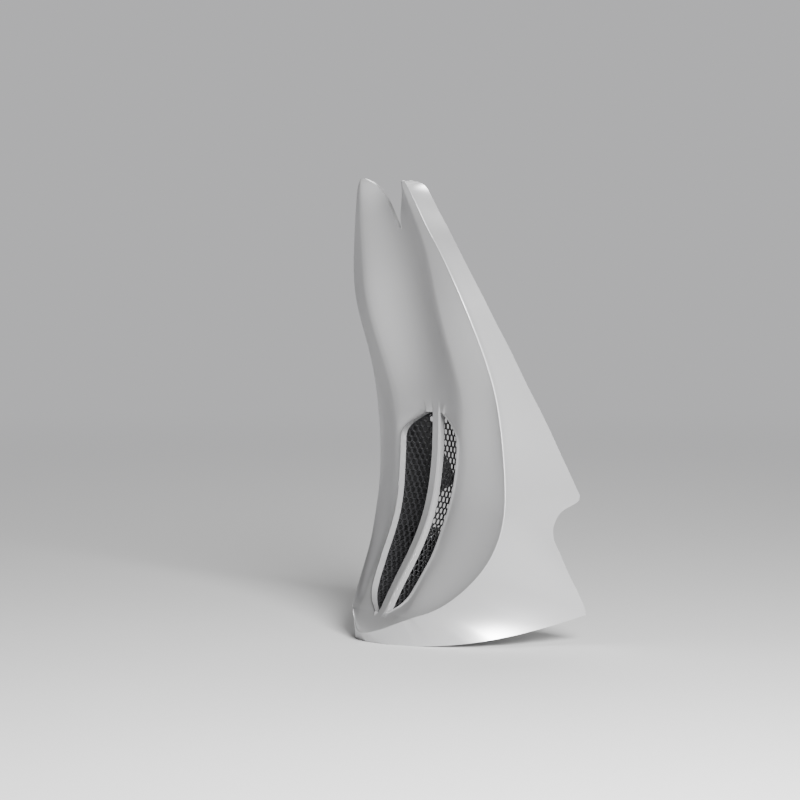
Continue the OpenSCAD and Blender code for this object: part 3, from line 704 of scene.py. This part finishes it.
def makeShell():
    uList, face, trim, deep, ring = shellGrids()
    halfCount = face.shape[1] - 1
    base = np.concatenate([face[:, :0:-1] * (-1, 1, 1), face], axis=1)
    bothTrim = np.concatenate([trim[:, :0:-1], trim], axis=1)
    bothDeep = np.concatenate([deep[:, :0:-1], deep], axis=1)
    rowCount, colCount = base.shape[:2]
    outside = base.copy()
    outside[:, :, 1] += bothTrim
    # Strips from the right horn round the nose to the left horn
    starts = [face[i, -1] for i in range(rowCount)]
    starts += [face[-1, j] for j in range(halfCount - 1, -1, -1)]
    half = np.array([skirtStrip(s, r, o) for s, (r, o) in zip(starts, ring)])
    strips = np.concatenate([half * (-1, 1, 1), half[-2::-1]], axis=0)
    outside, base, strips = atSize(outside), atSize(base), atSize(strips)
    faceIn, stripIn = -gridNormals(base), gridNormals(strips)
    calmCorners(faceIn)
    ringCount, stripCount = strips.shape[:2]
    last = rowCount - 1

    def border(q):
        if q <= last:
            return q, 0
        if q <= last + colCount - 1:
            return last, q - last
        return ringCount - 1 - q, colCount - 1

    # The way into the wall turns evenly over the rounded ridge, from the face's to the panel's
    steps = shell["roundSteps"]
    for q in range(ringCount):
        faceWay, panelWay = faceIn[border(q)], stripIn[q, steps]
        for k in range(steps):
            way = faceWay * (1 - k / steps) + panelWay * k / steps
            stripIn[q, k] = way / max(length(way), 1e-9)
    wall, extra = shell["wall"] * mm, (shell["ventReturn"] - shell["wall"]) * mm
    inside = base + faceIn * (wall + extra * bothDeep)[:, :, None]
    stripInside = strips + stripIn * wall
    frontCount = rowCount * colCount
    outsideCount = frontCount + ringCount * (stripCount - 1)
    verts = np.concatenate([outside.reshape(-1, 3), strips[:, 1:].reshape(-1, 3),
                            inside.reshape(-1, 3), stripInside[:, 1:].reshape(-1, 3)])

    def faceId(i, j):
        return i * colCount + j

    def stripId(q, k):
        return faceId(*border(q)) if k == 0 else frontCount + q * (stripCount - 1) + k - 1

    notchRow, ventRow = uList.index(shell["notchAt"]), uList.index(shell["ventTop"])
    footRowAt = len(uList) - 1
    notchEdge, barEdge, openEdge = (columns.index(across[k]) for k in ("bar", "bevel", "vent"))

    def solidAt(i, j):
        if not (0 <= i < last and 0 <= j < colCount - 1):
            return False
        c = halfCount - 1 - j if j < halfCount else j - halfCount
        return not ((i < notchRow and c < notchEdge)
                    or (ventRow <= i < footRowAt and barEdge <= c < openEdge))

    faces, inner = [], []

    def addWall(quad):
        faces.append(quad)
        inner.append(0)
        faces.append(tuple(v + outsideCount for v in reversed(quad)))
        inner.append(1)

    def addRim(a, b):
        faces.append((b, a, a + outsideCount, b + outsideCount))
        inner.append(0)

    for i in range(last):
        for j in range(colCount - 1):
            if not solidAt(i, j):
                continue
            addWall((faceId(i, j), faceId(i, j + 1), faceId(i + 1, j + 1), faceId(i + 1, j)))
            if not solidAt(i - 1, j):
                addRim(faceId(i, j), faceId(i, j + 1))
            if not solidAt(i + 1, j) and i < last - 1:
                addRim(faceId(i + 1, j + 1), faceId(i + 1, j))
            if not solidAt(i, j - 1) and j > 0:
                addRim(faceId(i + 1, j), faceId(i, j))
            if not solidAt(i, j + 1) and j < colCount - 2:
                addRim(faceId(i, j + 1), faceId(i + 1, j + 1))
    for q in range(ringCount - 1):
        for k in range(stripCount - 1):
            addWall((stripId(q, k), stripId(q + 1, k), stripId(q + 1, k + 1), stripId(q, k + 1)))
        addRim(stripId(q + 1, stripCount - 1), stripId(q, stripCount - 1))
    for k in range(stripCount - 1):
        addRim(stripId(0, k + 1), stripId(0, k))
        addRim(stripId(ringCount - 1, k), stripId(ringCount - 1, k + 1))
    # Bosses reach from the inserts' mouths into the wall
    verts = [tuple(v) for v in verts]
    middle = ringCount // 2
    for points in islandsOf("threaded_inserts"):
        low, high = points.min(axis=0), points.max(axis=0)
        centre = (low + high) / 2
        mouth = low[0] if centre[0] > 0 else high[0]
        side = slice(middle, None) if centre[0] > 0 else slice(0, middle)
        bossVerts, rings = bossPoints(mouth, centre, stripInside[side], strips[side])
        start = len(verts)
        verts += bossVerts
        ringFaces = latheFaces(rings, boss["sides"], True)
        faces += [tuple(start + v for v in f) for f in ringFaces]
        inner += [1] * len(ringFaces)
    skins = [materials["satinSilver"], materials["rawInside"]]
    return newPiece("shell_moulding", verts, faces, skins, inner)


shellPiece = makeShell()
addBevel(shellPiece, shell["edgeBevel"] * mm)
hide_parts("spoiler_shell")
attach(shellPiece, "root")
print("shell made,", len(shellPiece.data.polygons), "faces")


# Screen: hexagonal mesh at its true pitch, with a plain hem, close behind the vent
screen = {"thickness": 1.6, "gap": 0.25, "pitch": 8.5, "rowPitch": 5.5, "strand": 1.25,
          "hem": 3.5, "hemExtra": 0.25, "hemSteps": 90, "sideHoles": 8, "spare": 1,
          "mapFrom": 7.4, "mapSteps": 400, "topAt": 7.82, "highest": 7.2, "reach": 4,
          "stationStep": 0.02, "sideStep": 0.5, "merge": 0.03, "sharp": 40}


def screenMap():
    # Distance along the vent's middle line for each station, to space the rows of holes evenly
    us = np.linspace(screen["mapFrom"], shell["ventFoot"], screen["mapSteps"])
    line = np.array([facePoint(rowAt(u), across["bevel"] + 1) for u in us])
    travel = np.concatenate([[0], np.cumsum(np.linalg.norm(np.diff(line[:, 1:], axis=0), axis=1))])
    return us, travel


screenUs, screenTravel = screenMap()


def screenPoint(x, s, depth):
    # A point of the screen x mm from the middle and s mm down the vent, depth mm behind the face
    u = float(np.interp(s, screenTravel, screenUs))
    slide = max(0.0, s - screenTravel[-1])
    stepU, stepX = screen["stationStep"], screen["sideStep"]

    def surface(px, pu):
        row = rowAt(min(max(pu, screen["highest"]), shell["ventFoot"]))
        return np.array([px, faceDepth(row, abs(px)), row["z"]])

    down = surface(x, u + stepU) - surface(x, u - stepU)
    side = surface(x + stepX, u) - surface(x - stepX, u)
    n = np.cross(side, down)
    n /= length(n)
    p = surface(x, u) + down / length(down) * slide
    return p + n * (shell["ventReturn"] + depth)


def screenHalfWidth(s):
    u = float(np.interp(s, screenTravel, screenUs))
    row = rowAt(min(u, shell["ventFoot"]))
    slide = max(0.0, s - screenTravel[-1])
    return row["places"][across["vent"]] + screen["reach"] - slide


def makeScreen():
    top = float(np.interp(screen["topAt"], screenUs, screenTravel))
    foot = screenTravel[-1] + screen["reach"]
    w, h = screen["pitch"] / 2, screen["rowPitch"]
    tip, shoulder = h * 2 / 3, h / 3
    corners = [(0, tip), (w, shoulder), (w, -shoulder), (0, -tip), (-w, -shoulder), (-w, shoulder)]
    sides = len(corners)
    share = 1 - screen["strand"] / screen["pitch"]
    near, far = screen["gap"], screen["gap"] + screen["thickness"]
    verts, faces = [], []
    for i in range(int((foot - top) / h) + 1):
        s = top + (i + 0.5) * h
        limit = screenHalfWidth(s)
        for j in range(-screen["sideHoles"], screen["sideHoles"] + 1):
            x = (j + (i % 2) / 2) * screen["pitch"]
            if abs(x) > limit - screen["spare"]:
                continue
            start = len(verts)
            for depth in (near, far):
                for scale in (1, share):
                    verts += [screenPoint(x + cx * scale, s + cs * scale, depth) for cx, cs in corners]
            for k in range(sides):
                a, b = start + k, start + (k + 1) % sides
                faces.append((a, b, b + sides, a + sides))
                faces.append((a + sides, b + sides, b + 3 * sides, a + 3 * sides))
                faces.append((b + 2 * sides, a + 2 * sides, a + 3 * sides, b + 3 * sides))
    # Hem: the outline and a line inside it, on the screen's surface
    outline = [(screenHalfWidth(s), s) for s in np.linspace(top, foot, screen["hemSteps"])]
    loop = np.array(outline + [(-x, s) for x, s in reversed(outline)])
    way = np.roll(loop, -1, axis=0) - np.roll(loop, 1, axis=0)
    normal = np.stack([-way[:, 1], way[:, 0]], axis=1)
    normal /= np.linalg.norm(normal, axis=1, keepdims=True)
    inset = loop + normal * screen["hem"]
    extra = screen["hemExtra"]
    start, count = len(verts), len(loop)
    for depth in (near - extra / 2, far + extra):
        verts += [screenPoint(x, s, depth) for x, s in loop]
        verts += [screenPoint(x, s, depth) for x, s in inset]
    for k in range(count):
        a, b = start + k, start + (k + 1) % count
        faces.append((a, b, b + count, a + count))
        faces.append((b + 2 * count, a + 2 * count, a + 3 * count, b + 3 * count))
        faces.append((b, a, a + 2 * count, b + 2 * count))
        faces.append((a + count, b + count, b + 3 * count, a + 3 * count))
    piece = newPiece("vent_mesh", atSize(np.array(verts)), faces, [materials["screenBlack"]])
    mergePoints(piece, screen["merge"], screen["sharp"])
    return piece


screenPiece = makeScreen()
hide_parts("mesh_screen")
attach(screenPiece, "root")
print("screen made,", len(screenPiece.data.polygons), "faces")


# Plates, bands, washers and screws: the solids' own form with their edges eased, by so many mm
easedNodes = {
    "upper_bracket_left": ("powderBlack", 0.45), "upper_bracket_right": ("powderBlack", 0.45),
    "lower_bracket_left": ("powderBlack", 0.45), "lower_bracket_right": ("powderBlack", 0.45),
    "lower_bar": ("powderBlack", 0.5),
    "clamp_band_left": ("brushedBand", 0.3), "clamp_band_right": ("brushedBand", 0.3),
    "clamp_liner_left": ("blackRubber", 0.3), "clamp_liner_right": ("blackRubber", 0.3),
    "clamp_washers": ("brightZinc", 0.25), "bar_washers": ("brightZinc", 0.25),
    "foot_washers": ("brightZinc", 0.25), "foot_screws": ("brightZinc", 0.2),
    "threaded_inserts": ("turnedBrass", 0.2),
}


def easedCopy(node, finish, width, flat=0.01):
    mesh = nodes[node].data.copy()
    mesh.transform(nodes[node].matrix_world)
    mesh.materials.clear()
    mesh.materials.append(materials[finish])
    shape = bmesh.new()
    shape.from_mesh(mesh)
    bmesh.ops.remove_doubles(shape, verts=shape.verts, dist=sameSpot)
    bmesh.ops.dissolve_limit(shape, angle_limit=flat, verts=shape.verts, edges=shape.edges)
    for face in shape.faces:
        face.smooth = True
        face.material_index = 0
    shape.to_mesh(mesh)
    shape.free()
    piece = addObject("eased_" + node, mesh)
    addBevel(piece, width * mm)
    return piece


for name, (finish, width) in easedNodes.items():
    piece = easedCopy(name, finish, width)
    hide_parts(name)
    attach(piece, "root")
print("eased", len(easedNodes), "nodes")


# Bolts and nuts: chamfered hexagons and rolled threads, in mm
fixing = {"radius": 3, "root": 2.5, "pitch": 1, "hex": 5.76, "hexChamfer": 0.93, "chamferAngle": 30,
          "sides": 48, "head": 3.9, "sink": 0.3, "point": 0.8, "pointDepth": 0.3, "middle": 0.01,
          "boreChamfer": 0.4, "play": 0.05, "merge": 0.02, "sharp": 35,
          "thread": [(0, "root"), (0.12, "root"), (0.45, "radius"), (0.6, "radius")]}


def hexRadius(angle):
    # Distance from the middle to the hexagon's side, with a corner at angle 0
    flat = fixing["hex"] * math.cos(math.pi / 6)
    return flat / math.cos((angle % (math.pi / 3)) - math.pi / 6)


def hexRings(low, high, bore):
    # A hexagon chamfered at its far end, and at both ends when it has a bore
    crown = fixing["hex"] * fixing["hexChamfer"]
    ease, slope = fixing["boreChamfer"], math.tan(math.radians(fixing["chamferAngle"]))
    rings = []
    for a in (2 * math.pi * k / fixing["sides"] for k in range(fixing["sides"])):
        r = hexRadius(a)
        drop, rim = max(0, r - crown) * slope, min(crown, r)
        if bore:
            line = [(low + ease, bore), (low, bore + ease), (low, rim), (low + drop, r),
                    (high - drop, r), (high, rim), (high, bore + ease), (high - ease, bore)]
        else:
            line = [(low, fixing["middle"]), (low, r), (high - drop, r), (high, rim),
                    (high, fixing["middle"])]
        rings.append([(along, radius, a) for along, radius in line])
    return list(zip(*rings))


def threadRings(low, high):
    # A helical thread with a chamfered point at its low end
    pitch, sides = fixing["pitch"], fixing["sides"]
    least = fixing["root"] - fixing["pointDepth"]
    slope = (fixing["radius"] - least) / fixing["point"]
    rings = []
    for turn in range(-1, int((high - low) / pitch) + 1):
        for share, size in fixing["thread"]:
            ring = []
            for k in range(sides):
                along = low + (turn + share + k / sides) * pitch
                radius = min(fixing[size], least + max(0, along - low) * slope)
                ring.append((min(max(along, low), high), radius, 2 * math.pi * k / sides))
            rings.append(ring)
    return [[(low, fixing["middle"], a) for _, _, a in rings[0]]] + rings


def fixingAxis(node):
    # Long axis of a node's bolts: square to the clamps' bore there, and front to back on the bar
    if node.startswith("clamp"):
        tube = Vector(next(m["axis"] for m in frame["record"]["mounts"] if m["name"] == "clamp_left"))
        axis = Vector((1, 0, 0)).cross(tube).normalized()
    else:
        axis = Vector((0, 1, 0))
    return axis if axis.y > 0 else -axis


def makeFixings(name, node, ringsOf):
    # One turned shape on each of a node's solids, along the node's own bolt axis
    axis = np.array(fixingAxis(node))
    level = np.array([1.0, 0.0, 0.0])
    up = np.cross(level, axis)
    verts, faces = [], []
    for points in islandsOf(node):
        along = points @ axis / mm
        sideways = [(way, points @ way) for way in (level, up)]
        centre = sum(way * t.min() + way * t.max() for way, t in sideways) / 2
        for rings, closed in ringsOf(float(along.min()), float(along.max())):
            start = len(verts)
            for ring in rings:
                verts += [centre + (axis * t + (level * math.cos(a) + up * math.sin(a)) * r) * mm
                          for t, r, a in ring]
            faces += [tuple(start + v for v in f)
                      for f in latheFaces(len(rings), fixing["sides"], closed)]
    piece = newPiece(name, verts, faces, [materials["brightZinc"]])
    mergePoints(piece, fixing["merge"], fixing["sharp"])
    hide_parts(node)
    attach(piece, "root")


def boltRings(low, high):
    under = high - fixing["head"]
    return [(hexRings(under, high, 0), False), (threadRings(low, under + fixing["sink"]), False)]


def nutRings(low, high):
    return [(hexRings(low, high, fixing["radius"] + fixing["play"]), True)]


for place in ("clamp", "bar"):
    makeFixings(place + "_hex_bolts", place + "_bolts", boltRings)
    makeFixings(place + "_hex_nuts", place + "_nuts", nutRings)
print("bolts and nuts made")


# Studio: a pale floor that fades into the surround, and large soft lights
studio = {
    "floorSize": 40, "floorColor": (0.5, 0.5, 0.5), "floorRoughness": 0.9, "fade": (0.4, 3.2),
    "surround": (0.54, 0.54, 0.55), "above": (0.03, 0.029, 0.028), "horizon": (0.02, 0.2),
    "lights": {
        "key": {"azimuth": 74, "elevation": 19, "distance": 2.6, "size": 1, "power": 330},
        "rear": {"azimuth": 240, "elevation": 40, "distance": 2.8, "size": 1.8, "power": 40},
        "top": {"azimuth": 60, "elevation": 85, "distance": 2.4, "size": 1.4, "power": 10},
    },
}


def makeFloor():
    mesh = bpy.data.meshes.new("floor")
    h = studio["floorSize"] / 2
    mesh.from_pydata([(-h, -h, 0), (h, -h, 0), (h, h, 0), (-h, h, 0)], [], [(0, 1, 2, 3)])
    floor = addObject("floor", mesh)
    material = bpy.data.materials.new("paleFloor")
    material.use_nodes = True
    tree = material.node_tree
    shader = tree.nodes["Principled BSDF"]
    place, far = tree.nodes.new("ShaderNodeTexCoord"), tree.nodes.new("ShaderNodeVectorMath")
    far.operation = "LENGTH"
    link(tree, place.outputs["Object"], far.inputs[0])
    fade = smoothShare(tree, far.outputs["Value"], *studio["fade"])
    black = (0, 0, 0)
    for label, near, away in (("Base Color", studio["floorColor"], black),
                              ("Emission Color", black, studio["surround"])):
        link(tree, mixColors(tree, fade, near, away), shader.inputs[label])
    shader.inputs["Emission Strength"].default_value = 1
    shader.inputs["Roughness"].default_value = studio["floorRoughness"]
    shader.inputs["Specular IOR Level"].default_value = 0
    mesh.materials.append(material)


def lightStudio():
    # Pale near the horizon, where the floor meets it, and dimmer above
    world = bpy.data.worlds.new("studio")
    world.use_nodes = True
    tree = world.node_tree
    way, split = tree.nodes.new("ShaderNodeTexCoord"), tree.nodes.new("ShaderNodeSeparateXYZ")
    link(tree, way.outputs["Generated"], split.inputs["Vector"])
    rise = smoothShare(tree, split.outputs["Z"], *studio["horizon"])
    sky = mixColors(tree, rise, studio["surround"], studio["above"])
    link(tree, sky, tree.nodes["Background"].inputs["Color"])
    bpy.context.scene.world = world
    middle = (cadBox[0] + cadBox[1]) / 2
    for name, v in studio["lights"].items():
        data = bpy.data.lights.new(name, "AREA")
        data.shape = "DISK"
        data.size = v["size"]
        data.energy = v["power"]
        lamp = addObject(name, data)
        back = viewAxes(v["azimuth"], v["elevation"])[0]
        lamp.location = middle + back * v["distance"]
        lamp.rotation_euler = back.to_track_quat("Z", "Y").to_euler()


makeFloor()
lightStudio()
print("studio lit")
